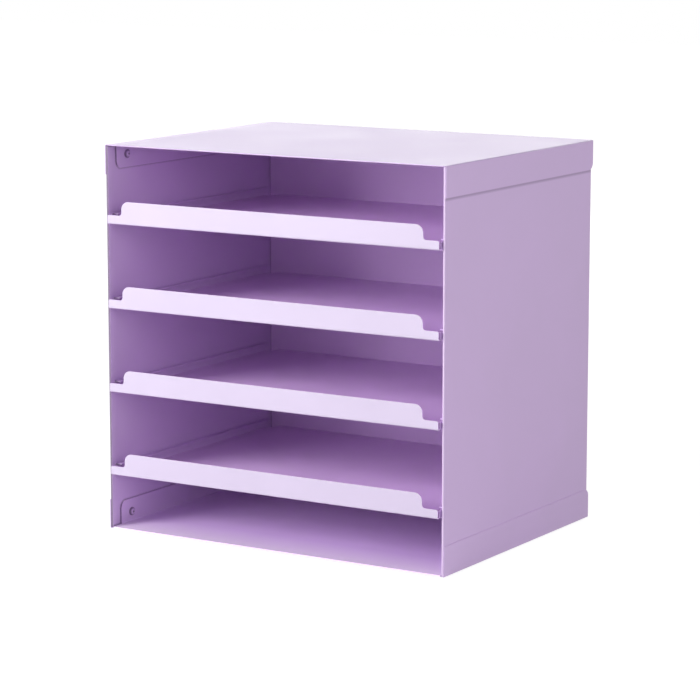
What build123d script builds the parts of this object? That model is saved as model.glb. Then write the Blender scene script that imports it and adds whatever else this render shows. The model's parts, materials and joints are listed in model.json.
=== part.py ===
"""Desk organizer in folded sheet steel: an open-fronted case with four pull-out trays.

Millimetres, +Z up, the open front towards -Y. The origin is on the desk, under the
middle of the whole object. Inside the functions, depth is counted back from the front
edges of the side panels, and height up from the underside of the case.
"""
from build123d import *
import os

# Case, over its outside faces
case_width = 320.0
case_height = 320.0
panel_depth = 243.5
cover_rear_overhang = 1.5

# Sheet, folds and the gaps of assembly
case_sheet = 1.0
cover_sheet = 0.5
tray_sheet = 0.8
bend_radius = 0.5
hem_gap = 0.1
fit_gap = 0.2

# Outer covers: a skirt at each side, outside the side panels
skirt_height = 24.5
skirt_corner_radius = 6.0
base_front_setback = 2.0

# Inner pans: a flange at each side, inside the side panels
pan_flange_height = 20.5
pan_flange_corner_radius = 6.4
pan_flange_step = 6.3

# Side panels
panel_hem_width = 6.0
rear_flange_width = 12.0

# Runners on the side panels
runner_height = 9.0
runner_depth = 6.5

# Trays
tray_count = 4
lowest_tray_height = 46.5
top_tray_drop = 64.4
tray_side_gap = 1.5
tray_ride_gap = 0.1
tray_back_gap = 0.3
tray_flange_top_gap = 0.6
tray_hem_width = 8.0
corner_relief = 2.0
lip_height = 19.0
lip_proud = 3.3
lip_corner_radius = 6.5
lip_shoulder_width = 14.0
lip_shoulder_height = 7.4
lip_shoulder_fillet = 2.5
lip_end_radius = 1.2

# Screws, from the pans' flanges into tapped holes in the side panels
screw_radius = 2.0
thread_gap = 0.05
clear_hole_gap = 0.3
head_radius = 3.5
head_height = 2.4
head_edge_height = 1.0
case_screw_inset = 26.5
case_screw_height = 9.5

# Pads under the base
pad_radius = 7.0
pad_thickness = 1.5
pad_inset = 22.0

# Depths, counted back from the front edges of the side panels
cover_depth = panel_depth + cover_rear_overhang
back_panel_face = panel_depth - 2 * case_sheet
pan_depth = back_panel_face - fit_gap
pan_flange_front = panel_hem_width + pan_flange_step
tray_rear = back_panel_face - tray_back_gap
lip_back = tray_sheet - lip_proud
tray_flange_front = lip_back + bend_radius + corner_relief
tray_flange_rear = tray_rear - tray_hem_width - corner_relief
runner_front = panel_hem_width + fit_gap
runner_rear = tray_flange_rear

# Half widths, counted out from the middle
panel_outside = case_width / 2 - cover_sheet
panel_inside = panel_outside - case_sheet
hem_inside = panel_inside - case_sheet - hem_gap
runner_edge = panel_inside - runner_depth
tray_half_width = hem_inside - tray_side_gap
tray_hem_half_width = runner_edge - tray_side_gap

# Heights, counted up from the underside of the case
ceiling_top = case_height - cover_sheet
tray_pitch = (case_height - top_tray_drop - lowest_tray_height) / (tray_count - 1)
runner_mouth = runner_height - 2 * case_sheet
tray_flange_height = runner_mouth - tray_ride_gap - tray_flange_top_gap

# Screws
screw_grip = 2 * case_sheet - fit_gap

# Place of the case in the object's own frame
object_depth = lip_proud + cover_depth
front_y = lip_proud - object_depth / 2
case_frame = Pos(0, front_y, pad_thickness)


def folded(path, sheet):
    """Section of a folded sheet, from the line along the middle of its thickness."""
    return trace(path, line_width=sheet)


def bent_line(*points, sheet):
    """Line along the middle of a sheet, with a bend at each corner."""
    return FilletPolyline(*points, radius=bend_radius + sheet / 2)


def hem_line(fold_at, edge_at, level, sheet, turn):
    """Line along a hemmed edge: the nose at fold_at and the free edge over at edge_at.

    The outer layer lies at level, and the folded layer above it (turn 1) or below it
    (turn -1). It ends where the nose meets the outer layer.
    """
    fold_radius = (sheet + hem_gap) / 2
    toward = 1 if edge_at > fold_at else -1
    centre = fold_at + toward * (fold_radius + sheet / 2)
    inner = level + turn * 2 * fold_radius
    nose = centre - toward * fold_radius
    middle = level + turn * fold_radius
    return (
        Line((edge_at, inner), (centre, inner))
        + ThreePointArc((centre, inner), (nose, middle), (centre, level))
    ), (centre, level)


def across(section, half_width):
    """Section drawn as depth and height, drawn out evenly to both sides."""
    plane = Plane.YZ.offset(-half_width)
    return extrude(plane * section, 2 * half_width)


def back_from(section, start, end):
    """Section drawn as width and height, drawn out from one depth to another."""
    plane = Plane((0, start, 0), x_dir=(1, 0, 0), z_dir=(0, -1, 0))
    return extrude(plane * section, start - end)


def block(width_from, width_to, depth_from, depth_to, height_from, height_to):
    """Block between two widths, two depths and two heights."""
    size = (width_to - width_from, depth_to - depth_from, height_to - height_from)
    return Pos(width_from, depth_from, height_from) * Box(*size, align=Align.MIN)


def both_sides(solid):
    """The solid and its mirror image on the other side of the object."""
    return solid + mirror(solid, about=Plane.YZ)


def screw_spot_list():
    """Depth and height of the screws that hold one side panel to the pans."""
    depths = (case_screw_inset, back_panel_face - case_screw_inset)
    heights = (case_screw_height, case_height - case_screw_height)
    return [(depth, height) for depth in depths for height in heights]


def sideways(solid, half_width, depth, height):
    """A solid drawn along +Z, turned to point out to the right at a place inside."""
    return Pos(half_width, depth, height) * Rot(0, 90, 0) * solid


def bottomed_cylinder(radius, length):
    """Cylinder that stands on the origin."""
    return Cylinder(radius, length, align=(Align.CENTER, Align.CENTER, Align.MIN))


def side_bores(radius):
    """Bores through one side, at every case screw."""
    reach = bottomed_cylinder(radius, 3 * case_sheet)
    start = panel_inside - 2 * case_sheet
    return [sideways(reach, start, depth, height) for depth, height in screw_spot_list()]


def skirt_outline(rounded_top):
    """Side view of a cover's skirt, with its free rear corner rounded off."""
    free = skirt_height if rounded_top else 0
    held = 0 if rounded_top else skirt_height
    points = [(0, held), (0, free), (cover_depth, free), (cover_depth, held)]
    radii = [0, 0, skirt_corner_radius, 0]
    return make_face(FilletPolyline(*points, radius=radii, close=True))


def cover(rounded_top):
    """A cover's flat sheet and skirts, standing on the sheet or hanging from it."""
    middle = cover_sheet / 2 if rounded_top else skirt_height - cover_sheet / 2
    free = skirt_height if rounded_top else 0
    edge = case_width / 2 - cover_sheet / 2
    line = bent_line((-edge, free), (-edge, middle), (edge, middle), (edge, free), sheet=cover_sheet)
    whole = back_from(folded(line, cover_sheet), 0, cover_depth)
    return whole & across(skirt_outline(rounded_top), case_width)


def make_top_cover():
    """Top cover, with its front edge hemmed under between the side panels."""
    skirt_bottom = case_height - skirt_height
    hem_half_width = hem_inside - fit_gap
    level = ceiling_top + cover_sheet / 2
    line, end = hem_line(0, pan_flange_front - fit_gap, level, cover_sheet, -1)
    joint = pan_flange_front
    hem = across(folded(line + Line(end, (joint, level)), cover_sheet), hem_half_width)
    gap = block(-hem_half_width, hem_half_width, 0, joint, ceiling_top, case_height)
    return Pos(0, 0, skirt_bottom) * cover(rounded_top=False) - gap + hem


def make_base_cover():
    """Base cover, with its sheet set back under the floor's front edge."""
    half_width = panel_outside - bend_radius
    setback = block(-half_width, half_width, 0, base_front_setback, 0, cover_sheet)
    return cover(rounded_top=True) - setback


def flange_outline():
    """Side view of a pan that lies flat, flanges up, with their free corners rounded."""
    flat = make_face(
        Polyline((0, 0), (pan_depth, 0), (pan_depth, case_sheet), (0, case_sheet), close=True)
    )
    top = pan_flange_height - cover_sheet
    points = [(pan_flange_front, 0), (pan_flange_front, top), (pan_depth, top), (pan_depth, 0)]
    radii = [0, pan_flange_corner_radius, pan_flange_corner_radius, 0]
    return flat + make_face(FilletPolyline(*points, radius=radii, close=True))


def pan():
    """A pan that lies flat, with its flanges folded up, before its holes."""
    top = pan_flange_height - cover_sheet
    edge = panel_inside - case_sheet / 2
    middle = case_sheet / 2
    line = bent_line((-edge, top), (-edge, middle), (edge, middle), (edge, top), sheet=case_sheet)
    whole = back_from(folded(line, case_sheet), 0, pan_depth)
    notch_edge = hem_inside - fit_gap
    notch = block(notch_edge, panel_inside, 0, pan_flange_front, 0, case_sheet)
    return (whole & across(flange_outline(), case_width)) - both_sides(notch)


def holed_for_screws(solid):
    """The solid with a clearance hole for each screw in its flanges."""
    for bore in side_bores(screw_radius + clear_hole_gap):
        solid -= both_sides(bore)
    return solid


def make_floor_pan():
    """Floor of the lowest compartment."""
    return holed_for_screws(Pos(0, 0, cover_sheet) * pan())


def make_ceiling_pan():
    """Ceiling under the top cover, which begins behind the cover's hem."""
    turned = Pos(0, 0, ceiling_top) * mirror(pan(), about=Plane.XY)
    front = block(-case_width, case_width, 0, pan_flange_front, 0, case_height)
    return holed_for_screws(turned - front)


def make_right_side_panel():
    """Right side panel: hemmed in front, folded in at the rear, with tapped holes."""
    outer = panel_inside + case_sheet / 2
    rear = panel_depth - case_sheet / 2
    free = panel_outside - rear_flange_width
    line, end = hem_line(0, panel_hem_width, outer, case_sheet, -1)
    # the hem is drawn as depth and width, and turned over into width and depth
    hem = Plane.YX * line
    body = bent_line((outer, end[0]), (outer, rear), (free, rear), sheet=case_sheet)
    bottom = cover_sheet + bend_radius
    top = case_height - bottom
    panel = extrude(folded(hem + body, case_sheet), top - bottom)
    panel = Pos(0, 0, bottom) * panel
    for bore in side_bores(screw_radius + thread_gap):
        panel -= bore
    return panel


def make_back_panel():
    """Back panel, flat against the front of the side panels' rear flanges."""
    half_width = panel_inside - bend_radius - fit_gap
    bottom = cover_sheet + fit_gap
    top = ceiling_top - fit_gap
    rear = back_panel_face + case_sheet
    return block(-half_width, half_width, back_panel_face, rear, bottom, top)


def tray_heights():
    """Height of each tray's underside, the lowest first."""
    return [lowest_tray_height + tray_pitch * count for count in range(tray_count)]


def make_right_runner(tray_height):
    """C-shaped runner on the right-hand panel, with the tray's edge in its mouth."""
    low = tray_height - tray_ride_gap - case_sheet / 2
    high = low + runner_height - case_sheet
    web = panel_inside - case_sheet / 2
    line = bent_line((runner_edge, low), (web, low), (web, high), (runner_edge, high), sheet=case_sheet)
    return back_from(folded(line, case_sheet), runner_front, runner_rear)


def lip_outline():
    """Front view of a tray's lip: tall in the middle, with a low shoulder at each end."""
    end = tray_half_width
    step = tray_half_width - lip_shoulder_width
    below = -tray_sheet
    left = [(-end, below), (-end, lip_shoulder_height), (-step, lip_shoulder_height), (-step, lip_height)]
    right = [(-width, height) for width, height in reversed(left)]
    radii = [0, lip_end_radius, lip_shoulder_fillet, lip_corner_radius]
    return make_face(FilletPolyline(*left, *right, radius=radii + radii[::-1], close=True))


def make_tray(tray_height):
    """Tray: floor hemmed under at the rear, flanges at the sides, stepped lip in front."""
    middle = tray_sheet / 2
    hem, end = hem_line(tray_rear, tray_rear - tray_hem_width, middle, tray_sheet, -1)
    lip_middle = lip_back - middle
    front = bent_line((lip_middle, lip_height), (lip_middle, middle), end, sheet=tray_sheet)
    tray = across(folded(front + hem, tray_sheet), tray_half_width)

    # the lip's outline is cut from the fold
    lip_zone = block(-case_width, case_width, -2 * lip_proud, lip_back + bend_radius, 0, lip_height)
    tray -= lip_zone - back_from(lip_outline(), -2 * lip_proud, lip_back + bend_radius)

    # the floor's edges make way for the side flanges, and its rear corners for the runners
    flange_edge = tray_half_width - 2 * (bend_radius + tray_sheet)
    strip = block(flange_edge, case_width, tray_flange_front, tray_flange_rear, -lip_height, lip_height)
    corner = block(
        tray_hem_half_width, case_width, tray_flange_rear, case_height, -lip_height, lip_height
    )
    tray -= both_sides(strip + corner)
    edge = tray_half_width - tray_sheet / 2
    flange = bent_line((flange_edge, middle), (edge, middle), (edge, tray_flange_height), sheet=tray_sheet)
    tray += both_sides(back_from(folded(flange, tray_sheet), tray_flange_front, tray_flange_rear))
    return Pos(0, 0, tray_height) * tray


def screw():
    """Pan-head screw along +Z: its head stands below the origin and its shank above."""
    crown = TangentArc((0, -head_height), (head_radius, -head_edge_height), tangent=(1, 0))
    outline = crown + Polyline(
        (head_radius, -head_edge_height), (head_radius, 0), (screw_radius, 0),
        (screw_radius, screw_grip), (0, screw_grip), (0, -head_height),
    )
    return revolve(Plane.XZ * make_face(outline), Axis.Z)


def make_case_screws():
    """Screws from inside the case, through the pans' flanges into the side panels."""
    seat = panel_inside - case_sheet
    return [
        sideways(screw(), seat, depth, height)
        for depth, height in screw_spot_list()
    ]


def make_pads():
    """One pad under each corner of the base."""
    pad = Pos(0, 0, -pad_thickness) * bottomed_cylinder(pad_radius, pad_thickness)
    across_at = case_width / 2 - pad_inset
    depths = (pad_inset, panel_depth - pad_inset)
    return [Pos(across_at, depth, 0) * pad for depth in depths]


def mirrored(solid):
    """The solid's mirror image on the left-hand side."""
    return mirror(solid, about=Plane.YZ)


def paired(solids):
    """The solids of the right-hand side and their mirror images, as one group."""
    return Compound([*solids, *[mirrored(solid) for solid in solids]])


def make_nodes():
    """Every piece of the object, by its name."""
    right_panel = make_right_side_panel()
    nodes = {
        "top_cover": make_top_cover(),
        "ceiling_pan": make_ceiling_pan(),
        "base_cover": make_base_cover(),
        "floor_pan": make_floor_pan(),
        "right_side_panel": right_panel,
        "left_side_panel": mirrored(right_panel),
        "back_panel": make_back_panel(),
        "case_screws": paired(make_case_screws()),
        "foot_pads": paired(make_pads()),
    }
    for number, height in enumerate(tray_heights(), start=1):
        runner = make_right_runner(height)
        nodes[f"right_runner_{number}"] = runner
        nodes[f"left_runner_{number}"] = mirrored(runner)
        nodes[f"tray_{number}"] = make_tray(height)
    return nodes


os.makedirs("parts", exist_ok=True)
for name, solid in make_nodes().items():
    export_step(case_frame * solid, f"parts/{name}.step")
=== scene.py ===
"""Looks of the desk organizer: lilac powder coat on folded sheet steel, in a white studio.

All sizes are in metres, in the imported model's own frame: the open front faces -Y and
the desk is at height zero. Each sub-assembly is a class that builds its own meshes
and dresses its own pieces, and each finish is a frozen dataclass.
"""

import json
import logging
import math
from dataclasses import dataclass
from enum import Enum
from itertools import product

import bmesh
import bpy
from mathutils import Matrix, Vector


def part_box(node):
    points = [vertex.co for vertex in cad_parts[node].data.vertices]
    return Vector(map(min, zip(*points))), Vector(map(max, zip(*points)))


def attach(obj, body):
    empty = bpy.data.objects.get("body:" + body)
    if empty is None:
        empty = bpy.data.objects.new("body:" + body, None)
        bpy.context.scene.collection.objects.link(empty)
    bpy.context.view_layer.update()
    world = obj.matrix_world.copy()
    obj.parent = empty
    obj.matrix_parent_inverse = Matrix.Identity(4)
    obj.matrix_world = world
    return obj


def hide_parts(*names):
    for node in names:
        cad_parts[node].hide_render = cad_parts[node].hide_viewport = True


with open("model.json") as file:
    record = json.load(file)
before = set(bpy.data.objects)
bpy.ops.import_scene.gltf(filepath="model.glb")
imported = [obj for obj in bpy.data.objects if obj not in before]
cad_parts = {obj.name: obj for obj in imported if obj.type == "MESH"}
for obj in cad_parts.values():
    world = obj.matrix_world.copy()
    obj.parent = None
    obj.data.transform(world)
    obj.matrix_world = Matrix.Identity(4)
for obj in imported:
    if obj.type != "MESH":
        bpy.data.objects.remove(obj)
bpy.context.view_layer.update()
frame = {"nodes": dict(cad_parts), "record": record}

log = logging.getLogger("desk_organizer")
MM = 0.001
SHARP_ANGLE = math.radians(35.0)
UP = (0.0, 0.0, 1.0)
FORWARD = (0.0, -1.0, 0.0)
REARWARD = (0.0, 1.0, 0.0)
LEFTWARD = (-1.0, 0.0, 0.0)
RIGHTWARD = (1.0, 0.0, 0.0)
DOWN_AND_FORWARD = (0.0, -0.707, -0.707)
NUMBER = "NodeSocketFloat"
COLOUR = "NodeSocketColor"
VECTOR = "NodeSocketVector"


class Side(Enum):
    """A side of the case, as the sign of its X."""

    LEFT = -1
    RIGHT = 1


class Texture(Enum):
    """How rough a powder coat cures: the grain's size in metres and its height."""

    SMOOTH = (0.0016, 0.000006)
    FINE = (0.0011, 0.000010)


class Graph:
    """Adds nodes to one node tree and joins their sockets."""

    def __init__(self, tree: bpy.types.NodeTree) -> None:
        """Keep the tree that the nodes go into."""
        self.tree = tree

    def add(self, kind: str, label: str = "", **settings: object) -> bpy.types.Node:
        """Add a node and set its own properties.

        Args:
            kind: Blender's type name of the node.
            label: what the node does, in plain words.
            settings: properties to set on the node.

        Returns:
            The new node.
        """
        node = self.tree.nodes.new(kind)
        node.label = label
        for name, value in settings.items():
            setattr(node, name, value)
        return node

    def join(self, source: object, target: bpy.types.NodeSocket) -> None:
        """Join an output to an input, or give the input a plain value.

        Args:
            source: the output, or the value.
            target: the input.
        """
        if isinstance(source, bpy.types.NodeSocket):
            self.tree.links.new(source, target)
        else:
            target.default_value = source

    def sum(
        self,
        operation: str,
        first: bpy.types.NodeSocket | float,
        second: bpy.types.NodeSocket | float,
        label: str,
        third: bpy.types.NodeSocket | float = 0.0,
        clamp: bool = False,
    ) -> bpy.types.NodeSocket:
        """Work out one sum of values, any of which may be a socket.

        Args:
            operation: Blender's name of the sum, such as MULTIPLY.
            first: the first value.
            second: the second value.
            label: what the sum is for.
            third: what MULTIPLY_ADD adds to the product of the others.
            clamp: whether the result is held between 0 and 1.

        Returns:
            The socket that holds the result.
        """
        node = self.add("ShaderNodeMath", label, operation=operation, use_clamp=clamp)
        for value, socket in zip((first, second, third), node.inputs):
            self.join(value, socket)
        return node.outputs[0]

    def spread(
        self,
        value: bpy.types.NodeSocket,
        low: float | bpy.types.NodeSocket,
        high: float | bpy.types.NodeSocket,
        label: str,
        start: float | bpy.types.NodeSocket = 0.0,
        end: float | bpy.types.NodeSocket = 1.0,
    ) -> bpy.types.NodeSocket:
        """Carry a value from one range to another.

        Args:
            value: the socket to read.
            low: the result at the start of the range.
            high: the result at its end.
            label: what the result is for.
            start: the value that gives low.
            end: the value that gives high.

        Returns:
            The socket that holds the result.
        """
        node = self.add("ShaderNodeMapRange", label)
        self.join(value, node.inputs["Value"])
        self.join(start, node.inputs["From Min"])
        self.join(end, node.inputs["From Max"])
        self.join(low, node.inputs["To Min"])
        self.join(high, node.inputs["To Max"])
        return node.outputs["Result"]

    def match(self, first: bpy.types.NodeSocket, second: object, label: str) -> bpy.types.NodeSocket:
        """Work out how far two vectors point the same way.

        Args:
            first: the first vector.
            second: the second vector, a socket or a plain value.
            label: what the match is for.

        Returns:
            The socket that holds their dot product.
        """
        node = self.add("ShaderNodeVectorMath", label, operation="DOT_PRODUCT")
        self.join(first, node.inputs[0])
        self.join(second, node.inputs[1])
        return node.outputs["Value"]

    def blend(
        self,
        share: bpy.types.NodeSocket | float,
        first: bpy.types.NodeSocket | tuple[float, ...],
        second: bpy.types.NodeSocket | tuple[float, ...],
        label: str,
    ) -> bpy.types.NodeSocket:
        """Blend two colours.

        Args:
            share: how much of the second colour is taken.
            first: the first colour.
            second: the second colour.
            label: what the blend is for.

        Returns:
            The socket that holds the colour.
        """
        node = self.add("ShaderNodeMix", label, data_type="RGBA")
        self.join(share, node.inputs[0])
        self.join(first, node.inputs[6])
        self.join(second, node.inputs[7])
        return node.outputs[2]


class Effects:
    """Shader node groups that more than one finish uses, each built once.

    A band is the pair of values between which an effect goes from none to full.
    """

    peel_roughness: float = 0.45
    beads_per_grain: float = 1.7
    bead_share: float = 0.4
    high_spot_band: tuple[float, float] = (0.35, 0.65)
    spray_twist: float = 0.6
    spray_band: tuple[float, float] = (0.3, 0.7)
    facing_up_band: tuple[float, float] = (0.6, 1.0)
    specks_in_a_metre: float = 420.0
    speck_band: tuple[float, float] = (0.4, 0.7)
    dust_colour: tuple[float, float, float, float] = (0.72, 0.70, 0.70, 1.0)
    # the outer face that takes the painted shadow under a skirt
    seam_side: tuple[float, float, float] = RIGHTWARD
    # the painted shade beside lapped sheets: its band and its fade
    lap_band: tuple[float, float] = (0.04, 0.30)
    lap_fade: float = 4.0 * MM
    edge_samples: int = 4
    lap_samples: int = 6

    def __init__(self) -> None:
        """Build every group."""
        self.grain = self._paint_grain()
        self.spray = self._spray_variation()
        self.edges = self._thin_and_highlit_edges()
        self.dust = self._settled_dust()
        # the first group paints light and shade by the way a face turns, the next a painted shadow under a
        # skirt, the last painted shade beside lapped sheets
        self.painted_light = self._painted_light_by_facing()
        self.seam = self._under_a_seam()
        self.lap_shade = self._beside_a_lap()

    @staticmethod
    def _new(
        name: str, inputs: dict[str, str], outputs: dict[str, str]
    ) -> tuple[bpy.types.NodeTree, Graph, bpy.types.Node, bpy.types.Node]:
        """Start a group with its named sockets.

        Args:
            name: the group's name.
            inputs: each input's kind of socket.
            outputs: each output's kind of socket.

        Returns:
            The group, a graph that adds to it, and its input and output nodes.
        """
        tree = bpy.data.node_groups.new(name, "ShaderNodeTree")
        for way, sockets in (("INPUT", inputs), ("OUTPUT", outputs)):
            for title, kind in sockets.items():
                tree.interface.new_socket(title, in_out=way, socket_type=kind)
        graph = Graph(tree)
        return tree, graph, graph.add("NodeGroupInput"), graph.add("NodeGroupOutput")

    @classmethod
    def _paint_grain(cls) -> bpy.types.NodeTree:
        """Orange peel of a sprayed and baked coat.

        Returns:
            A group that puts out a height in metres and a mask of the grain's high spots.
        """
        tree, graph, start, end = cls._new(
            "paint grain", {"Size": NUMBER, "Depth": NUMBER}, {"Height": NUMBER, "Mask": NUMBER}
        )
        place = graph.add("ShaderNodeTexCoord", "place on the piece")
        count = graph.sum("DIVIDE", 1.0, start.outputs["Size"], "grains in a metre")
        peel = graph.add("ShaderNodeTexNoise", "orange peel")
        peel.inputs["Detail"].default_value = 2.0
        peel.inputs["Roughness"].default_value = cls.peel_roughness
        graph.join(place.outputs["Object"], peel.inputs["Vector"])
        graph.join(count, peel.inputs["Scale"])
        beads = graph.add("ShaderNodeTexVoronoi", "melted powder", feature="SMOOTH_F1")
        beads.inputs["Smoothness"].default_value = 1.0
        graph.join(place.outputs["Object"], beads.inputs["Vector"])
        bead_count = graph.sum("MULTIPLY", count, cls.beads_per_grain, "smaller beads")
        graph.join(bead_count, beads.inputs["Scale"])
        domes = graph.sum("SUBTRACT", 1.0, beads.outputs["Distance"], "beads as domes")
        mixed = graph.sum("MULTIPLY_ADD", domes, cls.bead_share, "peel and beads", peel.outputs["Fac"])
        height = graph.sum("MULTIPLY", mixed, start.outputs["Depth"], "height")
        graph.join(height, end.inputs["Height"])
        spots = graph.spread(peel.outputs["Fac"], 0.0, 1.0, "high spots", *cls.high_spot_band)
        graph.join(spots, end.inputs["Mask"])
        return tree

    @classmethod
    def _spray_variation(cls) -> bpy.types.NodeTree:
        """Slow drift in a coat's colour and cure, as the sprayer leaves it.

        Returns:
            A group that puts out a colour and a mask.
        """
        tree, graph, start, end = cls._new(
            "spray variation",
            {"Colour": COLOUR, "Amount": NUMBER, "Size": NUMBER},
            {"Colour": COLOUR, "Mask": NUMBER},
        )
        place = graph.add("ShaderNodeTexCoord", "place on the piece")
        count = graph.sum("DIVIDE", 1.0, start.outputs["Size"], "clouds in a metre")
        cloud = graph.add("ShaderNodeTexNoise", "spray passes")
        cloud.inputs["Detail"].default_value = 3.0
        cloud.inputs["Distortion"].default_value = cls.spray_twist
        graph.join(place.outputs["Object"], cloud.inputs["Vector"])
        graph.join(count, cloud.inputs["Scale"])
        low = graph.sum("SUBTRACT", 1.0, start.outputs["Amount"], "thin spray")
        high = graph.sum("ADD", 1.0, start.outputs["Amount"], "full spray")
        drift = graph.spread(cloud.outputs["Fac"], low, high, "drift in brightness", *cls.spray_band)
        scaled = graph.add("ShaderNodeVectorMath", "colour with its drift", operation="SCALE")
        graph.join(start.outputs["Colour"], scaled.inputs[0])
        graph.join(drift, scaled.inputs["Scale"])
        graph.join(scaled.outputs[0], end.inputs["Colour"])
        graph.join(cloud.outputs["Fac"], end.inputs["Mask"])
        return tree

    @classmethod
    def _thin_and_highlit_edges(cls) -> bpy.types.NodeTree:
        """Where a coat draws thin, along cut edges and tight folds; the coats paint these edges paler, as
        thin coat and as a painted highlight.

        Returns:
            A group that puts out a mask, 1 on a sharp edge and 0 on a flat face.
        """
        tree, graph, start, end = cls._new(
            "thin edges", {"Softness": NUMBER, "Radius": NUMBER}, {"Mask": NUMBER}
        )
        rounded = graph.add("ShaderNodeBevel", "edge softened", samples=cls.edge_samples)
        graph.join(start.outputs["Radius"], rounded.inputs["Radius"])
        shape = graph.add("ShaderNodeNewGeometry", "surface as built")
        alike = graph.match(rounded.outputs["Normal"], shape.outputs["True Normal"], "how well they match")
        turned = graph.sum("SUBTRACT", 1.0, alike, "turned away")
        mask = graph.sum("DIVIDE", turned, start.outputs["Softness"], "edge mask", clamp=True)
        graph.join(mask, end.inputs["Mask"])
        return tree

    @classmethod
    def _settled_dust(cls) -> bpy.types.NodeTree:
        """A trace of dust on what faces up.

        Returns:
            A group that puts out a colour and a mask.
        """
        tree, graph, start, end = cls._new(
            "settled dust", {"Colour": COLOUR, "Amount": NUMBER}, {"Colour": COLOUR, "Mask": NUMBER}
        )
        shape = graph.add("ShaderNodeNewGeometry", "way the surface faces")
        parts = graph.add("ShaderNodeSeparateXYZ", "how far up")
        graph.join(shape.outputs["Normal"], parts.inputs[0])
        upward = graph.spread(parts.outputs["Z"], 0.0, 1.0, "faces up", *cls.facing_up_band)
        place = graph.add("ShaderNodeTexCoord", "place on the piece")
        specks = graph.add("ShaderNodeTexNoise", "specks")
        specks.inputs["Scale"].default_value = cls.specks_in_a_metre
        specks.inputs["Detail"].default_value = 4.0
        graph.join(place.outputs["Object"], specks.inputs["Vector"])
        patchy = graph.spread(specks.outputs["Fac"], 0.0, 1.0, "patchy", *cls.speck_band)
        most = graph.sum("MULTIPLY", patchy, start.outputs["Amount"], "dust on a level face")
        share = graph.sum("MULTIPLY", upward, most, "dust here")
        dusted = graph.blend(share, start.outputs["Colour"], cls.dust_colour, "dusted")
        graph.join(dusted, end.inputs["Colour"])
        graph.join(share, end.inputs["Mask"])
        return tree

    @classmethod
    def _painted_light_by_facing(cls) -> bpy.types.NodeTree:
        """Painted light and shade: a lighter or darker copy of the colour on the faces that turn one way, up
        to a limit along another way.

        Returns:
            A group that puts out a colour.
        """
        tree, graph, start, end = cls._new(
            "facing the gun",
            {
                "Colour": COLOUR,
                "Full": COLOUR,
                "Toward": VECTOR,
                "Along": VECTOR,
                "Limit": NUMBER,
                "Fade": NUMBER,
                "Low": NUMBER,
                "High": NUMBER,
            },
            {"Colour": COLOUR},
        )
        place = graph.add("ShaderNodeTexCoord", "way the piece faces")
        toward = graph.match(place.outputs["Normal"], start.outputs["Toward"], "toward the painted way")
        low, high = start.outputs["Low"], start.outputs["High"]
        facing = graph.spread(toward, 0.0, 1.0, "faces the painted way", low, high)
        far = graph.match(place.outputs["Object"], start.outputs["Along"], "how far along")
        before = graph.sum("SUBTRACT", start.outputs["Limit"], far, "before the limit")
        reached = graph.sum("DIVIDE", before, start.outputs["Fade"], "inside the painted reach", clamp=True)
        share = graph.sum("MULTIPLY", facing, reached, "painted light and shade here")
        # this lays the lighter or darker copy over the colour: painted light and shade
        sprayed = graph.blend(share, start.outputs["Colour"], start.outputs["Full"], "sprayed")
        graph.join(sprayed, end.inputs["Colour"])
        return tree

    @staticmethod
    def _away_from(graph: Graph, level: bpy.types.NodeSocket) -> bpy.types.NodeSocket:
        """Measure how far above or below a level the surface is.

        Args:
            graph: the group's graph.
            level: the socket that holds the level.

        Returns:
            The socket that holds the distance.
        """
        place = graph.add("ShaderNodeTexCoord", "place on the piece")
        parts = graph.add("ShaderNodeSeparateXYZ", "how high")
        graph.join(place.outputs["Object"], parts.inputs[0])
        above = graph.sum("SUBTRACT", parts.outputs["Z"], level, "above the level")
        return graph.sum("ABSOLUTE", above, 0.0, "away from the level")

    @classmethod
    def _under_a_seam(cls) -> bpy.types.NodeTree:
        """A painted shadow: the soft dark line under an overlapping skirt, on its outer face.

        Returns:
            A group that puts out a mask, 1 in the middle of the line.
        """
        tree, graph, start, end = cls._new(
            "under a seam", {"Level": NUMBER, "Reach": NUMBER}, {"Mask": NUMBER}
        )
        away = cls._away_from(graph, start.outputs["Level"])
        ratio = graph.sum("DIVIDE", away, start.outputs["Reach"], "share of its reach")
        soft = graph.spread(ratio, 1.0, 0.0, "soft line")
        place = graph.add("ShaderNodeTexCoord", "way the piece faces")
        facing = graph.match(place.outputs["Normal"], cls.seam_side, "on the outer face")
        outer = graph.sum("MAXIMUM", facing, 0.0, "outer face only", clamp=True)
        graph.join(graph.sum("MULTIPLY", soft, outer, "seam mask"), end.inputs["Mask"])
        return tree

    @classmethod
    def _beside_a_lap(cls) -> bpy.types.NodeTree:
        """A painted shade: the dark line beside the edge of another sheet that lies on this one.

        It shows only farther from the middle height than the clear band reaches.

        Returns:
            A group that puts out a mask, 1 at the foot of that edge.
        """
        tree, graph, start, end = cls._new(
            "beside a lap", {"Reach": NUMBER, "Middle": NUMBER, "Clear": NUMBER}, {"Mask": NUMBER}
        )
        kind = "ShaderNodeAmbientOcclusion"
        alone = graph.add(kind, "shaded by its own folds", samples=cls.lap_samples, only_local=True)
        among = graph.add(kind, "shaded by all", samples=cls.lap_samples)
        for shaded in (alone, among):
            graph.join(start.outputs["Reach"], shaded.inputs["Distance"])
        added = graph.sum("SUBTRACT", alone.outputs["AO"], among.outputs["AO"], "shaded by its neighbours")
        line = graph.spread(added, 0.0, 1.0, "lap line", *cls.lap_band)
        away = cls._away_from(graph, start.outputs["Middle"])
        past = graph.sum("SUBTRACT", away, start.outputs["Clear"], "past the clear band")
        near = graph.spread(past, 0.0, 1.0, "near the corners", 0.0, cls.lap_fade)
        graph.join(graph.sum("MULTIPLY", line, near, "lap mask"), end.inputs["Mask"])
        return tree


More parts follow.
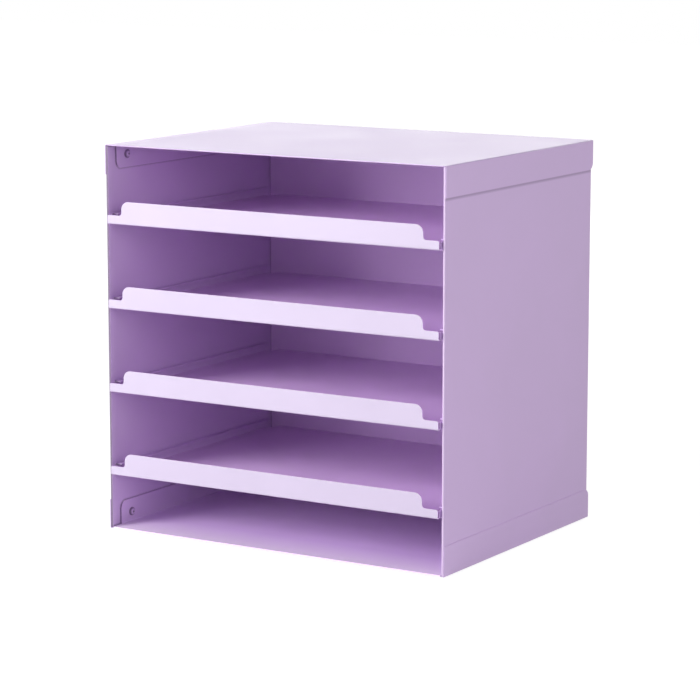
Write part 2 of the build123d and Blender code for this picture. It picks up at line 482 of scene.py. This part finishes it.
def use_group(graph: Graph, group: bpy.types.NodeTree, **values: object) -> bpy.types.Node:
    """Place a shared group in a material.

    Args:
        graph: the material's graph.
        group: the group to place.
        values: the group's inputs, each a value or a socket.

    Returns:
        The group's node.
    """
    node = graph.add("ShaderNodeGroup", group.name)
    node.node_tree = group
    for title, value in values.items():
        graph.join(value, node.inputs[title])
    return node


def raise_grain(graph: Graph, grain: bpy.types.Node, shader: bpy.types.Node) -> None:
    """Let a grain stand out of the surface.

    Args:
        graph: the material's graph.
        grain: the shared grain's node in it.
        shader: the shader that takes the relief.
    """
    bump = graph.add("ShaderNodeBump", "relief")
    bump.inputs["Distance"].default_value = 1.0
    graph.join(grain.outputs["Height"], bump.inputs["Height"])
    graph.join(bump.outputs["Normal"], shader.inputs["Normal"])


def start_material(name: str) -> tuple[bpy.types.Material, Graph, bpy.types.Node, bpy.types.Node]:
    """Start an empty material with a Principled shader.

    Args:
        name: the material's name.

    Returns:
        The material, its graph, its shader and its output node.
    """
    material = bpy.data.materials.new(name)
    material.use_nodes = True
    material.node_tree.nodes.clear()
    graph = Graph(material.node_tree)
    shader = graph.add("ShaderNodeBsdfPrincipled", name)
    end = graph.add("ShaderNodeOutputMaterial")
    graph.join(shader.outputs["BSDF"], end.inputs["Surface"])
    return material, graph, shader, end


@dataclass(frozen=True)
class LitOrShadedFaces:
    """Faces of a piece that take a lighter or darker copy of the colour: painted light and shade.

    They turn toward one way, from low, where none of the colour shows, to high, where
    all of it does. They lie before the limit along another way, in metres.
    """

    colour: tuple[float, float, float]
    toward: tuple[float, float, float] = FORWARD
    along: tuple[float, float, float] = REARWARD
    limit: float = 1.0
    fade: float = 0.2 * MM
    low: float = 0.25
    high: float = 0.9

    def place(self, graph: Graph, effects: Effects, colour: object) -> bpy.types.NodeSocket:
        """Put this colour over another.

        Args:
            graph: the material's graph.
            effects: the shared node groups.
            colour: the colour under it, a value or a socket.

        Returns:
            The socket that holds the result.
        """
        # the group paints this copy's light or shade over the colour
        painted_light = use_group(
            graph,
            effects.painted_light,
            Colour=colour,
            Full=(*self.colour, 1.0),
            Toward=self.toward,
            Along=self.along,
            Limit=self.limit,
            Fade=self.fade,
            Low=self.low,
            High=self.high,
        )
        return painted_light.outputs["Colour"]


@dataclass(frozen=True)
class PowderCoat:
    """Baked powder paint on steel.

    The faces, lighter and darker copies of the colour that are painted light and shade, are laid over the
    colour in their order. A painted shadow under a skirt is drawn where it has a level, and painted shade
    beside lapped sheets where it has a share. A share is how much of the painted shade, or of the edges'
    tone, comes through where its mask is full.
    """

    name: str
    colour: tuple[float, float, float]
    texture: Texture = Texture.FINE
    roughness: float = 0.38
    cure_drift: float = 0.03
    grain_scatter: float = 0.04
    dust_scatter: float = 0.5
    gloss_index: float = 1.5
    drift: float = 0.02
    cloud: float = 0.09
    faces: tuple[LitOrShadedFaces, ...] = ()
    # the colour of the painted shadow and the painted shade
    shade: tuple[float, float, float] = (0.130, 0.060, 0.180)
    # the painted shadow under a skirt: its height, its reach and how dark it gets
    seam_level: float | None = None
    seam_reach: float = 2.0 * MM
    seam_share: float = 0.52
    # the painted shade beside lapped sheets: how dark, how far, and the clear band about the middle height
    lap_share: float = 0.0
    lap_reach: float = 2.0 * MM
    lap_middle: float = 0.0
    lap_clear: float = 0.0
    edge_share: float = 0.25
    # the edges' paler tone: thin coat and a painted highlight
    edge_wear_and_highlight_tone: float = 1.12
    edge_softness: float = 0.45
    edge_width: float = 0.35 * MM
    dust: float = 0.03

    def material(self, effects: Effects) -> bpy.types.Material:
        """Build the coat's material.

        Args:
            effects: the shared node groups.

        Returns:
            The material.
        """
        material, graph, shader, _ = start_material(self.name)
        size, depth = self.texture.value
        colour = (*self.colour, 1.0)
        # the faces lay painted light and shade over the colour
        for face in self.faces:
            colour = face.place(graph, effects, colour)
        # a painted shadow under the skirt's edge
        if self.seam_level is not None:
            seam = use_group(graph, effects.seam, Level=self.seam_level, Reach=self.seam_reach)
            thin = graph.sum("MULTIPLY", seam.outputs["Mask"], self.seam_share, "painted shadow under the skirt")
            colour = graph.blend(thin, colour, (*self.shade, 1.0), "with its seam")
        # painted shade beside the edges of lapped sheets
        if self.lap_share > 0.0:
            reach, middle, clear = self.lap_reach, self.lap_middle, self.lap_clear
            lap = use_group(graph, effects.lap_shade, Reach=reach, Middle=middle, Clear=clear)
            thin = graph.sum("MULTIPLY", lap.outputs["Mask"], self.lap_share, "painted shade beside a lap")
            colour = graph.blend(thin, colour, (*self.shade, 1.0), "with its laps")
        spray = use_group(graph, effects.spray, Colour=colour, Amount=self.drift, Size=self.cloud)
        edges = use_group(graph, effects.edges, Softness=self.edge_softness, Radius=self.edge_width)
        # the edges take a paler tone: thin coat and a painted highlight
        tone = tuple(min(1.0, channel * self.edge_wear_and_highlight_tone) for channel in self.colour)
        share = graph.sum("MULTIPLY", edges.outputs["Mask"], self.edge_share, "thin coat and painted highlight on edges")
        edged = graph.blend(share, spray.outputs["Colour"], (*tone, 1.0), "with its edges")
        dust = use_group(graph, effects.dust, Colour=edged, Amount=self.dust)
        graph.join(dust.outputs["Colour"], shader.inputs["Base Color"])
        grain = use_group(graph, effects.grain, Size=size, Depth=depth)
        low, high = self.roughness - self.cure_drift, self.roughness + self.cure_drift
        cured = graph.spread(spray.outputs["Mask"], low, high, "cure", *effects.spray_band)
        high_spots, dusty = grain.outputs["Mask"], dust.outputs["Mask"]
        matt = graph.sum("MULTIPLY_ADD", high_spots, self.grain_scatter, "grain scatters light", cured)
        rough = graph.sum("MULTIPLY_ADD", dusty, self.dust_scatter, "dust scatters light", matt, clamp=True)
        graph.join(rough, shader.inputs["Roughness"])
        raise_grain(graph, grain, shader)
        shader.inputs["IOR"].default_value = self.gloss_index
        return material


@dataclass(frozen=True)
class PadRubber:
    """Dull rubber with a fine moulded grain."""

    name: str
    colour: tuple[float, float, float] = (0.026, 0.026, 0.028)
    drift: float = 0.15
    cloud: float = 0.006
    grain_size: float = 0.0005
    grain_depth: float = 0.00003
    smooth_spots: float = 0.66
    rough_spots: float = 0.80

    def material(self, effects: Effects) -> bpy.types.Material:
        """Build the rubber's material.

        Args:
            effects: the shared node groups.

        Returns:
            The material.
        """
        material, graph, shader, _ = start_material(self.name)
        base = (*self.colour, 1.0)
        spray = use_group(graph, effects.spray, Colour=base, Amount=self.drift, Size=self.cloud)
        graph.join(spray.outputs["Colour"], shader.inputs["Base Color"])
        grain = use_group(graph, effects.grain, Size=self.grain_size, Depth=self.grain_depth)
        rough = graph.spread(grain.outputs["Mask"], self.smooth_spots, self.rough_spots, "moulded grain")
        graph.join(rough, shader.inputs["Roughness"])
        raise_grain(graph, grain, shader)
        return material


def seen_directly(graph: Graph) -> bpy.types.NodeSocket:
    """Tell the rays that look at a surface from those that only carry its light.

    Args:
        graph: the graph of the floor's material or of the world.

    Returns:
        A socket that is 1 for the camera, in gloss and through glass.
    """
    seen = graph.add("ShaderNodeLightPath", "who looks")
    camera, gloss = seen.outputs["Is Camera Ray"], seen.outputs["Is Glossy Ray"]
    direct = graph.sum("ADD", camera, gloss, "camera or gloss")
    return graph.sum("ADD", direct, seen.outputs["Is Transmission Ray"], "or through glass", clamp=True)


@dataclass(frozen=True)
class StudioWhite:
    """White sweep under the object, which keeps a soft shadow and is white to the camera.

    Its glow grows to full white between the near and the far distance from the object.
    """

    name: str = "studio_white"
    paint: float = 0.80
    roughness: float = 0.9
    glow: float = 0.91
    shadow_share: float = 0.25
    near: float = 0.7
    far: float = 2.5

    def material(self) -> bpy.types.Material:
        """Build the floor's material.

        Returns:
            The material.
        """
        material, graph, shader, end = start_material(self.name)
        shader.inputs["Base Color"].default_value = (self.paint, self.paint, self.paint, 1.0)
        shader.inputs["Roughness"].default_value = self.roughness
        glow = graph.add("ShaderNodeEmission", "white to the camera")
        place = graph.add("ShaderNodeTexCoord", "place on the floor")
        away = graph.add("ShaderNodeVectorMath", "away from the object", operation="LENGTH")
        graph.join(place.outputs["Object"], away.inputs[0])
        strength = graph.spread(away.outputs["Value"], self.glow, 1.0, "whiter far out", self.near, self.far)
        graph.join(strength, glow.inputs["Color"])
        pale = graph.add("ShaderNodeBsdfDiffuse", "keeps the shadow")
        share = self.shadow_share
        pale.inputs["Color"].default_value = (share, share, share, 1.0)
        both = graph.add("ShaderNodeAddShader", "white with its shadow")
        graph.join(glow.outputs[0], both.inputs[0])
        graph.join(pale.outputs[0], both.inputs[1])
        choice = graph.add("ShaderNodeMixShader", "camera sees white")
        graph.join(seen_directly(graph), choice.inputs[0])
        graph.join(shader.outputs["BSDF"], choice.inputs[1])
        graph.join(both.outputs[0], choice.inputs[2])
        graph.join(choice.outputs[0], end.inputs["Surface"])
        return material


def lathe(profile: list[tuple[float, float]], steps: int) -> bmesh.types.BMesh:
    """Turn a profile about Z into a closed mesh.

    Args:
        profile: radius and height of each point, from the axis out and back to the axis.
        steps: how many steps go round.

    Returns:
        The mesh, with its faces outward.
    """
    mesh = bmesh.new()
    rings = []
    for radius, height in profile:
        if radius == 0.0:
            rings.append([mesh.verts.new((0.0, 0.0, height))])
            continue
        angles = [2.0 * math.pi * step / steps for step in range(steps)]
        rings.append([mesh.verts.new((radius * math.cos(a), radius * math.sin(a), height)) for a in angles])
    for near, far in zip(rings, rings[1:]):
        for step in range(steps):
            after = (step + 1) % steps
            below = [near[step % len(near)], near[after % len(near)]]
            above = [far[after % len(far)], far[step % len(far)]]
            mesh.faces.new(list(dict.fromkeys(below + above)))
    bmesh.ops.recalc_face_normals(mesh, faces=mesh.faces)
    return mesh


def piece_from(mesh: bmesh.types.BMesh, name: str) -> bpy.types.Object:
    """Make an object from a mesh, smooth except at its sharp edges.

    Args:
        mesh: the mesh, which is used up.
        name: the object's name.

    Returns:
        The object.
    """
    data = bpy.data.meshes.new(name)
    mesh.to_mesh(data)
    mesh.free()
    data.shade_smooth()
    data.set_sharp_from_angle(angle=SHARP_ANGLE)
    piece = bpy.data.objects.new(name, data)
    bpy.context.scene.collection.objects.link(piece)
    return piece


@dataclass
class SheetMetal:
    """Folded sheet-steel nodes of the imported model, which keep their shape.

    The side panels stay as folded: rounding their edges would turn over the thin
    slivers of mesh between their screw holes.
    """

    nodes: tuple[str, ...]
    coats: dict[str, PowderCoat]
    weld_reach: float = 0.002 * MM
    edge_break: float = 0.12 * MM
    edge_steps: int = 2
    edge_angle: float = 40.0
    as_folded: tuple[str, ...] = ("left_side_panel", "right_side_panel")

    def dress(self, effects: Effects) -> None:
        """Give each node its coat and break its sharp edges.

        Args:
            effects: the shared node groups.
        """
        ready = {slot: coat.material(effects) for slot, coat in self.coats.items()}
        slots = {entry["node"]: entry["material_slot"] for entry in frame["record"]["subparts"]}
        for name in self.nodes:
            piece = frame["nodes"][name]
            material = ready[name if name in ready else slots[name]]
            for slot in piece.material_slots:
                slot.material = material
            if name not in self.as_folded:
                self.break_edges(piece)
            log.info("%s: %s", name, material.name)

    def break_edges(self, piece: bpy.types.Object) -> None:
        """Round the sharp edges of a sheet a little, as the coat does.

        Args:
            piece: the node to round.
        """
        weld = piece.modifiers.new("joined faces", "WELD")
        weld.merge_threshold = self.weld_reach
        edge = piece.modifiers.new("broken edges", "BEVEL")
        edge.width = self.edge_break
        edge.segments = self.edge_steps
        edge.limit_method = "ANGLE"
        edge.angle_limit = math.radians(self.edge_angle)
        edge.harden_normals = True


@dataclass
class CaseScrews:
    """Pan-head screws inside the case, with a cross recess each.

    The recess narrows to the given shares of its width and reach at its bottom.
    """

    coat: PowderCoat
    head_radius: float = 3.5 * MM
    head_height: float = 2.4 * MM
    rim_height: float = 1.0 * MM
    rim_edge: float = 0.2 * MM
    shank_radius: float = 2.0 * MM
    grip: float = 1.8 * MM
    thread_depth: float = 0.25 * MM
    thread_count: int = 3
    recess_width: float = 0.75 * MM
    recess_reach: float = 1.75 * MM
    recess_depth: float = 1.3 * MM
    bottom_width_share: float = 0.7525
    bottom_reach_share: float = 0.45
    cutter_proud: float = 0.4 * MM
    crown_steps: int = 10
    round_steps: int = 48
    turn_between: float = 17.0

    def profile(self) -> list[tuple[float, float]]:
        """Radius and height along a screw whose head stands below zero.

        Returns:
            The points, from the crown to the end of the shank.
        """
        crown = self.head_height - self.rim_height
        bend = (self.head_radius**2 + crown**2) / (2.0 * crown)
        widest = math.asin(self.head_radius / bend)
        points = [(0.0, -self.head_height)]
        for step in range(1, self.crown_steps + 1):
            turn = widest * step / self.crown_steps
            fall = bend * (1.0 - math.cos(turn))
            points.append((bend * math.sin(turn), -self.head_height + fall))
        points.append((self.head_radius, -self.rim_edge))
        points.append((self.head_radius - self.rim_edge, 0.0))
        points.append((self.shank_radius, 0.0))
        pitch = self.grip / (self.thread_count + 0.5)
        for turn in range(self.thread_count):
            root = pitch * (turn + 0.5)
            points.append((self.shank_radius - self.thread_depth, root))
            points.append((self.shank_radius, root + pitch / 2.0))
        points.append((self.shank_radius - self.thread_depth, self.grip))
        points.append((0.0, self.grip))
        return points

    def recess(self) -> bpy.types.Object:
        """Tapered cross that is taken out of a head.

        Returns:
            The cutter's object.
        """
        mesh = bmesh.new()
        top = -self.head_height - self.cutter_proud
        bottom = -self.head_height + self.recess_depth
        shares = (self.bottom_width_share, self.bottom_reach_share)
        rings = []
        for level, (width_share, reach_share) in ((top, (1.0, 1.0)), (bottom, shares)):
            half = self.recess_width / 2.0 * width_share
            reach = self.recess_reach * reach_share
            corners = []
            for quarter in range(4):
                turn = Matrix.Rotation(math.radians(90.0 * quarter), 3, "Z")
                for x, y in ((half, half), (half, reach), (-half, reach)):
                    corners.append(mesh.verts.new(turn @ Vector((x, y, 0.0)) + Vector((0.0, 0.0, level))))
            rings.append(corners)
        count = len(rings[0])
        for place in range(count):
            after = (place + 1) % count
            mesh.faces.new((rings[0][place], rings[0][after], rings[1][after], rings[1][place]))
        mesh.faces.new(rings[0])
        mesh.faces.new(rings[1])
        bmesh.ops.recalc_face_normals(mesh, faces=mesh.faces)
        return piece_from(mesh, "recess_cutter")

    def master(self) -> bpy.types.Mesh:
        """One screw along +Z with its recess cut.

        Returns:
            The screw's mesh.
        """
        blank = piece_from(lathe(self.profile(), self.round_steps), "screw_blank")
        cutter = self.recess()
        cut = blank.modifiers.new("recess", "BOOLEAN")
        cut.operation = "DIFFERENCE"
        cut.solver = "EXACT"
        cut.object = cutter
        ready = blank.evaluated_get(bpy.context.evaluated_depsgraph_get())
        data = bpy.data.meshes.new_from_object(ready)
        data.name = "case_screw"
        data.shade_smooth()
        data.set_sharp_from_angle(angle=SHARP_ANGLE)
        bpy.data.objects.remove(blank)
        bpy.data.objects.remove(cutter)
        return data

    def places(self) -> list[tuple[str, Matrix]]:
        """Where each screw stands, from the nodes that it holds.

        Returns:
            Each screw's name and its place, shank outward.
        """
        low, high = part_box("case_screws")
        seat = high[0] - self.grip
        depths = {"front": low[1] + self.head_radius, "rear": high[1] - self.head_radius}
        heights = {"bottom": low[2] + self.head_radius, "top": high[2] - self.head_radius}
        corners = product(Side, depths.items(), heights.items())
        found = []
        for side, (depth_name, depth), (height_name, height) in corners:
            outward = Matrix.Rotation(math.radians(90.0 * side.value), 4, "Y")
            twist = Matrix.Rotation(math.radians(self.turn_between * len(found)), 4, "Z")
            spot = Matrix.Translation((seat * side.value, depth, height)) @ outward @ twist
            found.append((f"case_screw_{side.name.lower()}_{depth_name}_{height_name}", spot))
        return found

    def build(self, effects: Effects) -> None:
        """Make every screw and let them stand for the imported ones.

        Args:
            effects: the shared node groups.
        """
        data = self.master()
        data.materials.clear()
        data.materials.append(self.coat.material(effects))
        for name, spot in self.places():
            piece = bpy.data.objects.new(name, data.copy())
            piece.data.transform(spot)
            bpy.context.scene.collection.objects.link(piece)
            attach(piece, "case")
            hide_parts("case_screws")
            log.info("%s: %s", name, self.coat.name)


@dataclass
class FootPads:
    """Thin rubber pads under the corners of the base."""

    rubber: PadRubber
    radius: float = 7.0 * MM
    thickness: float = 1.5 * MM
    edge: float = 0.4 * MM
    dish_radius: float = 5.0 * MM
    dish_depth: float = 0.25 * MM
    edge_steps: int = 4
    round_steps: int = 56

    def profile(self) -> list[tuple[float, float]]:
        """Radius and height round a pad, from the middle of its underside to its top.

        Returns:
            The points.
        """
        rounded = []
        for step in range(self.edge_steps + 1):
            turn = math.radians(90.0 / self.edge_steps * step)
            out, down = self.edge * math.sin(turn), self.edge * math.cos(turn)
            rounded.append((self.radius - self.edge + out, self.edge - down))
        return [
            (0.0, self.dish_depth),
            (self.dish_radius - self.edge, self.dish_depth),
            (self.dish_radius, 0.0),
            *rounded,
            (self.radius, self.thickness),
            (0.0, self.thickness),
        ]

    def build(self, effects: Effects) -> None:
        """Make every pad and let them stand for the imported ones.

        Args:
            effects: the shared node groups.
        """
        low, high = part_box("foot_pads")
        material = self.rubber.material(effects)
        widths = {Side.LEFT: low[0] + self.radius, Side.RIGHT: high[0] - self.radius}
        depths = {"front": low[1] + self.radius, "rear": high[1] - self.radius}
        for (side, x), (depth_name, y) in product(widths.items(), depths.items()):
            name = f"foot_pad_{side.name.lower()}_{depth_name}"
            piece = piece_from(lathe(self.profile(), self.round_steps), name)
            piece.data.transform(Matrix.Translation((x, y, low[2])))
            piece.data.materials.append(material)
            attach(piece, "case")
            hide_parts("foot_pads")
            log.info("%s: %s", name, self.rubber.name)


@dataclass(frozen=True)
class Lamp:
    """A softbox: where it hangs, its size, its power in watts and where it points."""

    name: str
    place: tuple[float, float, float]
    width: float
    height: float
    power: float
    target: tuple[float, float, float] = (0.0, 0.0, 0.15)


@dataclass
class Studio:
    """Floor, lamps, surroundings and camera.

    The camera's place in metres, its turn and tilt in degrees and its focal length in
    millimetres come from a fit to the photograph's edges.
    """

    white: StudioWhite = StudioWhite()
    floor_size: float = 12.0
    floor_drop: float = 0.1 * MM
    ambient: float = 0.20
    eye: tuple[float, float, float] = (1.21892, -1.97381, 0.54544)
    turn: float = 31.6999
    tilt: float = 9.7068
    focal_length: float = 145.711
    sensor_width: float = 36.0
    farthest_seen: float = 50.0
    lamps: tuple[Lamp, ...] = (
        Lamp("key", (-1.08, -1.62, 0.83), 1.0, 0.8, 45.5),
        Lamp("front high", (0.5, -2.5, 0.95), 1.6, 0.7, 4.6),
        Lamp("front low", (0.2, -2.6, 0.25), 1.8, 0.3, 3.4),
        Lamp("left low", (-0.9, -2.4, 0.3), 1.0, 0.4, 6.3),
        Lamp("right", (2.4, -0.2, 0.9), 1.4, 1.2, 8.0),
        Lamp("corner", (1.9, -1.5, 0.9), 1.2, 1.2, 11.7),
        Lamp("rear", (-1.05, 1.9, 0.70), 3.0, 1.0, 16.6, target=(0.0, 0.0, 0.32)),
    )

    def lay_floor(self) -> None:
        """Lay the white floor, a little under the pads."""
        half = self.floor_size / 2.0
        mesh = bmesh.new()
        corners = [(-half, -half), (half, -half), (half, half), (-half, half)]
        mesh.faces.new([mesh.verts.new((x, y, -self.floor_drop)) for x, y in corners])
        floor = piece_from(mesh, "studio_floor")
        floor.data.materials.append(self.white.material())

    def surround(self) -> None:
        """Light the object evenly from all round, with white where the camera looks."""
        world = bpy.data.worlds.new("studio")
        world.use_nodes = True
        world.node_tree.nodes.clear()
        graph = Graph(world.node_tree)
        soft = graph.add("ShaderNodeBackground", "room light")
        soft.inputs["Strength"].default_value = self.ambient
        white = graph.add("ShaderNodeBackground", "white backdrop")
        for source in (soft, white):
            source.inputs["Color"].default_value = (1.0, 1.0, 1.0, 1.0)
        choice = graph.add("ShaderNodeMixShader", "camera sees white")
        end = graph.add("ShaderNodeOutputWorld")
        graph.join(seen_directly(graph), choice.inputs[0])
        graph.join(soft.outputs[0], choice.inputs[1])
        graph.join(white.outputs[0], choice.inputs[2])
        graph.join(choice.outputs[0], end.inputs["Surface"])
        bpy.context.scene.world = world

    def hang(self, lamp: Lamp) -> None:
        """Hang one softbox.

        Args:
            lamp: the softbox.
        """
        data = bpy.data.lights.new(lamp.name, "AREA")
        data.shape = "RECTANGLE"
        data.size = lamp.width
        data.size_y = lamp.height
        data.energy = lamp.power
        light = bpy.data.objects.new(lamp.name, data)
        light.location = lamp.place
        aim = Vector(lamp.target) - Vector(lamp.place)
        light.rotation_euler = aim.to_track_quat("-Z", "Y").to_euler()
        light.visible_camera = False
        bpy.context.scene.collection.objects.link(light)

    def set_camera(self) -> None:
        """Stand the camera where the photograph was taken from."""
        data = bpy.data.cameras.new("photograph")
        data.lens = self.focal_length
        data.sensor_width = self.sensor_width
        data.sensor_fit = "HORIZONTAL"
        data.clip_end = self.farthest_seen
        camera = bpy.data.objects.new("photograph", data)
        camera.location = self.eye
        camera.rotation_euler = (math.radians(90.0 - self.tilt), 0.0, math.radians(self.turn))
        bpy.context.scene.collection.objects.link(camera)
        bpy.context.scene.camera = camera

    def build(self) -> None:
        """Set up the whole studio."""
        self.lay_floor()
        self.surround()
        for lamp in self.lamps:
            self.hang(lamp)
        self.set_camera()
        bpy.context.scene.view_settings.view_transform = "Standard"


# The lilac paint in linear light: LILAC is the plain one, and the others are copies of it with painted light
# where the photograph shows it paler and painted shade where it shows it deeper
LILAC = (0.665, 0.478, 0.792)
# painted highlight: a greyer copy on the trays' lips
LIP_HIGHLIGHT_LILAC = (0.460, 0.398, 0.530)
# painted light: a greyer copy on the right panel's front strip and the skirts' left front ends
STRIP_LIT_LILAC = (0.557, 0.434, 0.630)
# painted sheen: a greyer copy on the top's upward faces
TOP_SHEEN_LILAC = (0.560, 0.435, 0.700)
# painted light: a paler copy on the front of the floors
FLOOR_LIT_LILAC = (0.810, 0.680, 0.870)
# painted light: a paler copy on the trays' upward faces
TRAY_LIT_LILAC = (0.785, 0.560, 0.880)
# painted shade: a deeper copy on the back panel
BACK_SHADE_LILAC = (0.665, 0.442, 0.792)
# painted light: a paler copy on the pans and the floors' rear
PAN_LIT_LILAC = (0.830, 0.620, 0.940)
# painted highlight: a paler copy on the top's left end
RIM_HIGHLIGHT_LILAC = (0.720, 0.570, 0.850)
# painted shade: a darker copy on the skirts' right front ends
SKIRT_SHADE_LILAC = (0.420, 0.310, 0.490)
# painted shade: a darker copy on the front-facing faces inside the left half
INNER_SHADE_LILAC = (0.330, 0.245, 0.390)
# painted shade: a dark copy on the left panel's front edge
NOSE_SHADE_LILAC = (0.160, 0.120, 0.190)
# painted shadow: a dark copy on the front edges of the pans' flanges
FLANGE_SHADOW_LILAC = (0.170, 0.090, 0.230)
# painted shadow: a dark copy on the screws' rims
SCREW_SHADOW_LILAC = (0.170, 0.100, 0.220)
# painted shade: a darker copy on the faces that look down and forward, under the top's front edge
UNDER_SHADE_LILAC = (0.220, 0.155, 0.270)


@dataclass(frozen=True)
class LilacCoats:
    """Which coat each sheet and the screws have.

    The sizes say how far the faces with painted light and shade of their own reach.
    """

    skirt_reach: float = 0.7 * MM
    flange_reach: float = 2.0 * MM
    lip_reach: float = 1.6 * MM
    # how far the painted highlight on the top's left end reaches, and its fade
    rim_reach: float = 15.0 * MM
    rim_fade: float = 13.0 * MM
    # how far the floor's painted light at the front reaches, and the fades of both
    pale_front: float = 45.0 * MM
    pale_front_fade: float = 40.0 * MM
    plain_floor_fade: float = 90.0 * MM
    # how far under the top's skirt the painted shadow's line lies
    seam_drop: float = 1.0 * MM
    corner_band: float = 30.0 * MM
    # how dark the painted shade beside lapped sheets is on the left panel
    left_lap_share: float = 0.55

    def covers(self) -> dict[str, PowderCoat]:
        """Coat the base cover and the top cover, with painted light and shade on their faces.

        Returns:
            Their coats.
        """
        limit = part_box("top_cover")[0][0] + self.skirt_reach
        # the skirts' front ends: painted light at the left end, painted shade at the right
        skirts = (
            LitOrShadedFaces(STRIP_LIT_LILAC, along=RIGHTWARD, limit=limit),
            LitOrShadedFaces(SKIRT_SHADE_LILAC, along=LEFTWARD, limit=limit),
        )
        rim_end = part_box("top_cover")[0][0] + self.rim_reach
        # the top: painted sheen on its upward faces, a painted highlight at its left end and painted shade
        # under its front edge
        top = (
            LitOrShadedFaces(TOP_SHEEN_LILAC, UP),
            LitOrShadedFaces(RIM_HIGHLIGHT_LILAC, UP, along=RIGHTWARD, limit=rim_end, fade=self.rim_fade),
            LitOrShadedFaces(UNDER_SHADE_LILAC, DOWN_AND_FORWARD, low=0.5, high=0.85),
        )
        return {
            # the base cover: painted light on its upward faces
            "cover_paint": PowderCoat("cover_coat", LILAC, faces=(LitOrShadedFaces(PAN_LIT_LILAC, UP), *skirts)),
            "top_cover": PowderCoat("top_cover_coat", LILAC, faces=top + skirts),
        }

    def pans(self) -> PowderCoat:
        """Coat the two pans, with painted light: a plain stretch between a paler front and a paler rear of
        the floor, and a painted shadow on the flanges' front edges.

        Returns:
            The coat.
        """
        flange_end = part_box("ceiling_pan")[0][0] + self.flange_reach
        front_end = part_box("floor_pan")[0][1] + self.pale_front
        rear_end = front_end + self.plain_floor_fade
        faces = (
            # the floor: the plain colour in the middle, painted light at its front and rear
            LitOrShadedFaces(LILAC, UP, limit=rear_end, fade=self.plain_floor_fade),
            LitOrShadedFaces(FLOOR_LIT_LILAC, UP, limit=front_end, fade=self.pale_front_fade),
            # the flanges' side faces keep the plain colour
            LitOrShadedFaces(LILAC, LEFTWARD),
            LitOrShadedFaces(LILAC, RIGHTWARD),
            # painted shadow on the front edges of the flanges, at both sides
            LitOrShadedFaces(FLANGE_SHADOW_LILAC, along=RIGHTWARD, limit=flange_end),
            LitOrShadedFaces(FLANGE_SHADOW_LILAC, along=LEFTWARD, limit=flange_end),
        )
        return PowderCoat("pan_coat", PAN_LIT_LILAC, faces=faces)

    def sides(self) -> dict[str, PowderCoat]:
        """Coat the side panels: painted light on a pale front edge on the right, painted shade on a dim one
        on the left, a painted shadow under the top's skirt on the right, and painted shade beside lapped
        sheets on the left.

        Returns:
            Their coats.
        """
        low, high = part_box("top_cover")
        middle = high[2] / 2.0
        # the painted shadow's line, under the top's skirt
        seam = low[2] - self.seam_drop
        return {
            # the right panel: painted light on its front strip and a painted shadow under the top's skirt
            "side_paint": PowderCoat("side_coat", LILAC, faces=(LitOrShadedFaces(STRIP_LIT_LILAC),), seam_level=seam),
            # the left panel: painted shade on its front edge and beside lapped sheets
            "left_side_panel": PowderCoat(
                "left_side_coat",
                LILAC,
                faces=(LitOrShadedFaces(NOSE_SHADE_LILAC),),
                lap_share=self.left_lap_share,
                lap_middle=middle,
                lap_clear=middle - self.corner_band,
            ),
        }

    def inner_front_shade(self) -> LitOrShadedFaces:
        """Paint shade on the faces inside the left half that look out at the front."""
        return LitOrShadedFaces(INNER_SHADE_LILAC, along=RIGHTWARD, limit=0.0)

    def trays(self) -> PowderCoat:
        """Coat the trays, with a painted highlight on their lips and painted light on their floors.

        Returns:
            The coat.
        """
        lip_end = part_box("tray_1")[0][1] + self.lip_reach
        # the lips take the painted highlight, the upward faces painted light, the left half's front faces
        # painted shade
        lip = LitOrShadedFaces(LIP_HIGHLIGHT_LILAC, limit=lip_end)
        return PowderCoat("tray_coat", LILAC, faces=(self.inner_front_shade(), lip, LitOrShadedFaces(TRAY_LIT_LILAC, UP)))

    def screws(self) -> PowderCoat:
        """Coat the screws, with a painted shadow on their rims and the plain colour on their crowns.

        Returns:
            The coat.
        """
        # the crowns keep the plain colour, the rims the painted shadow
        crowns = tuple(LitOrShadedFaces(LILAC, way, low=0.80, high=0.96) for way in (LEFTWARD, RIGHTWARD))
        return PowderCoat("screw_coat", SCREW_SHADOW_LILAC, Texture.SMOOTH, roughness=0.3, faces=crowns)

    def by_name(self) -> dict[str, PowderCoat]:
        """Choose the coat of each sheet.

        Returns:
            The coats by material slot, or by node where a node has its own.
        """
        return {
            **self.covers(),
            "pan_paint": self.pans(),
            **self.sides(),
            # the back panel: painted shade all over
            "back_paint": PowderCoat("back_coat", BACK_SHADE_LILAC),
            # the runners: painted shade on their front faces in the left half
            "runner_paint": PowderCoat("runner_coat", LILAC, faces=(self.inner_front_shade(),)),
            "tray_paint": self.trays(),
        }


def main() -> None:
    """Build and dress every sub-assembly, and report each piece."""
    logging.basicConfig(level=logging.INFO, format="%(name)s %(message)s")
    effects = Effects()
    trays = tuple(sorted(name for name in frame["nodes"] if name.startswith("tray_")))
    runners = tuple(sorted(name for name in frame["nodes"] if "_runner_" in name))
    covers_and_pans = ("top_cover", "ceiling_pan", "base_cover", "floor_pan")
    panels = ("left_side_panel", "right_side_panel", "back_panel")
    lilac = LilacCoats()
    SheetMetal(covers_and_pans + panels + runners + trays, lilac.by_name()).dress(effects)
    CaseScrews(lilac.screws()).build(effects)
    FootPads(PadRubber("pad_rubber")).build(effects)
    Studio().build()


if __name__ == "__main__":
    main()
